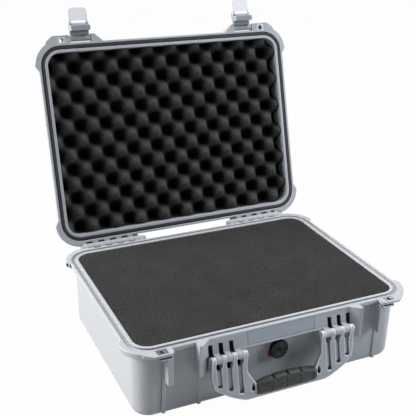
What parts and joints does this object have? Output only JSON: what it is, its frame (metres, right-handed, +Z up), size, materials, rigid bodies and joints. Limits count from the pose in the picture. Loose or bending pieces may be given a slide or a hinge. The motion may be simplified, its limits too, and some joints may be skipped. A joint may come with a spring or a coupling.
{
  "type": "protective hard case",
  "caption": "Moulded hard carrying case standing open, with a foam-filled base, a hinged lid lined with egg-crate foam, throw latches, a folding carry handle and a purge valve.",
  "frame": {"origin": "middle of the base's flat underside, on the floor", "axes": "+Z up, -Y to the front with the handle, +X to the right seen from the front"},
  "size_m": [0.5048, 0.5524, 0.5394],
  "materials": {
    "shell_plastic": "satin",
    "latch_plastic": "satin",
    "base_foam": "matte",
    "crate_foam": "matte",
    "seal_rubber": "matte",
    "grip_rubber": "matte",
    "valve_plastic": "satin",
    "valve_ring_rubber": "satin",
    "plate_steel": "polished",
    "pin_steel": "satin",
    "name_plate_plastic": "satin"
  },
  "bodies": {
    "base": {"base_shell": "shell_plastic", "foam_floor_pad": "base_foam", "foam_lower_layer": "base_foam", "foam_upper_layer": "base_foam", "name_plate": "name_plate_plastic", "valve_body": "valve_plastic", "valve_seal_ring": "valve_ring_rubber", "handle_pin_left": "pin_steel", "hinge_pin_left": "pin_steel", "padlock_plate_base_left": "plate_steel", "handle_pin_right": "pin_steel", "hinge_pin_right": "pin_steel", "padlock_plate_base_right": "plate_steel"},
    "lid": {"lid_shell": "shell_plastic", "lid_seal": "seal_rubber", "lid_foam": "crate_foam", "padlock_plate_lid_left": "plate_steel", "latch_pin_left": "pin_steel", "padlock_plate_lid_right": "plate_steel", "latch_pin_right": "pin_steel"},
    "handle": {"handle_frame": "shell_plastic", "handle_grip": "grip_rubber"},
    "valve_knob": {"valve_knob": "valve_plastic"},
    "latch_left": {"latch_arm_left": "latch_plastic", "latch_lever_pin_left": "pin_steel"},
    "lever_left": {"latch_lever_left": "latch_plastic"},
    "latch_right": {"latch_arm_right": "latch_plastic", "latch_lever_pin_right": "pin_steel"},
    "lever_right": {"latch_lever_right": "latch_plastic"}
  },
  "joints": [
    {"name": "lid_hinge", "type": "hinge", "parent": "base", "child": "lid", "pos_m": [0, 0.1899, 0.1255], "axis": [1, 0, 0], "range_deg": [0, 106.3]},
    {"name": "handle_swing", "type": "hinge", "parent": "base", "child": "handle", "pos_m": [0, -0.196, 0.0955], "axis": [-1, 0, 0], "range_deg": [0, 100]},
    {"name": "valve_turn", "type": "hinge", "parent": "base", "child": "valve_knob", "pos_m": [0, -0.1784, 0.076], "axis": [0, -1, 0], "range_deg": [0, 270]},
    {"name": "latch_left_throw", "type": "hinge", "parent": "lid", "child": "latch_left", "pos_m": [-0.1635, 0.30268, 0.48625], "axis": [1, 0, 0], "range_deg": [0, 90]},
    {"name": "lever_left_throw", "type": "hinge", "parent": "latch_left", "child": "lever_left", "pos_m": [-0.1635, 0.3132, 0.51151], "axis": [-1, 0, 0], "range_deg": [0, 60]},
    {"name": "latch_right_throw", "type": "hinge", "parent": "lid", "child": "latch_right", "pos_m": [0.1635, 0.30268, 0.48625], "axis": [1, 0, 0], "range_deg": [0, 90]},
    {"name": "lever_right_throw", "type": "hinge", "parent": "latch_right", "child": "lever_right", "pos_m": [0.1635, 0.3132, 0.51151], "axis": [-1, 0, 0], "range_deg": [0, 60]}
  ]
}
